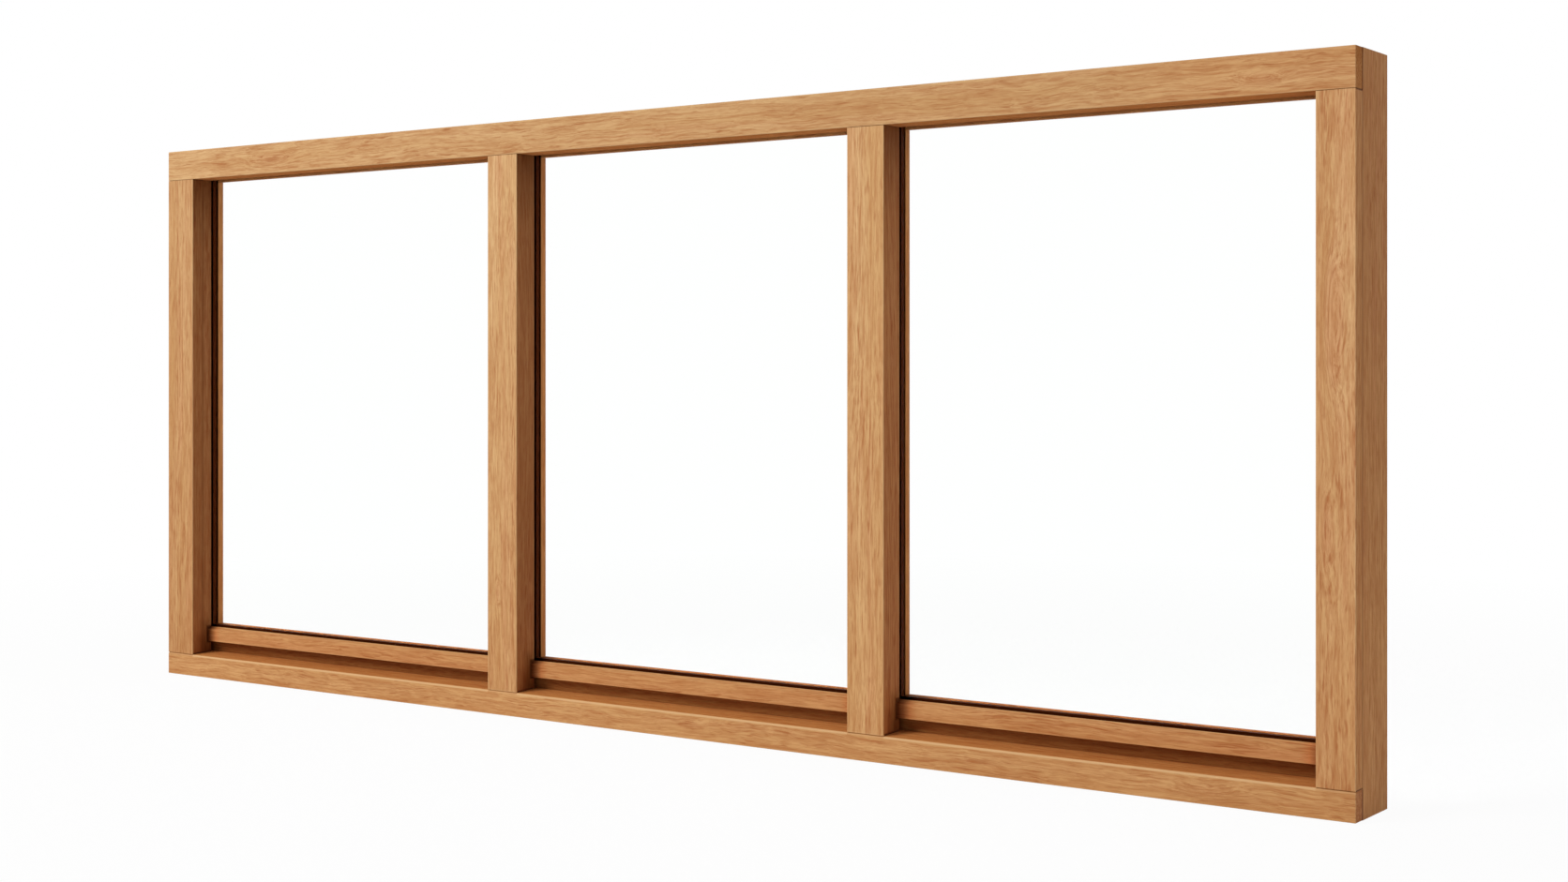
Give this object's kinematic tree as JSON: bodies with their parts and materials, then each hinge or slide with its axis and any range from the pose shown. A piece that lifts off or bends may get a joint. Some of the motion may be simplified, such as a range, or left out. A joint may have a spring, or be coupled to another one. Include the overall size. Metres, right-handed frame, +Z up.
{
  "type": "fixed wooden window",
  "caption": "Long low oak window frame with fixed double glazed lights between mullions, a weathered sill and a weather bar under each light.",
  "frame": {"origin": "middle of the footprint, on the underside of the sill", "axes": "+X along the window, to the right seen from outside; +Y from the outside face to the inside; +Z up"},
  "size_m": [2.4, 0.118, 1.02],
  "materials": {
    "oak_frame": "oiled oak, satin",
    "oak_bead": "oiled oak, satin",
    "clear_glass": "clear float glass",
    "edge_spacer": "dark brown warm edge spacer with edge seal",
    "glazing_tape": "dark brown foam tape",
    "packer": "plain dark plastic"
  },
  "bodies": {
    "root": {"head": "oak_frame", "sill": "oak_frame", "left_jamb": "oak_frame", "right_jamb": "oak_frame", "left_mullion": "oak_frame", "right_mullion": "oak_frame", "left_weather_bar": "oak_frame", "left_outer_tape": "glazing_tape", "left_outer_pane": "clear_glass", "left_spacer": "edge_spacer", "left_inner_pane": "clear_glass", "left_inner_tape": "glazing_tape", "left_setting_blocks": "packer", "left_top_bead": "oak_bead", "left_bottom_bead": "oak_bead", "left_left_bead": "oak_bead", "left_right_bead": "oak_bead", "middle_weather_bar": "oak_frame", "middle_outer_tape": "glazing_tape", "middle_outer_pane": "clear_glass", "middle_spacer": "edge_spacer", "middle_inner_pane": "clear_glass", "middle_inner_tape": "glazing_tape", "middle_setting_blocks": "packer", "middle_top_bead": "oak_bead", "middle_bottom_bead": "oak_bead", "middle_left_bead": "oak_bead", "middle_right_bead": "oak_bead", "right_weather_bar": "oak_frame", "right_outer_tape": "glazing_tape", "right_outer_pane": "clear_glass", "right_spacer": "edge_spacer", "right_inner_pane": "clear_glass", "right_inner_tape": "glazing_tape", "right_setting_blocks": "packer", "right_top_bead": "oak_bead", "right_bottom_bead": "oak_bead", "right_left_bead": "oak_bead", "right_right_bead": "oak_bead"}
  },
  "joints": []
}
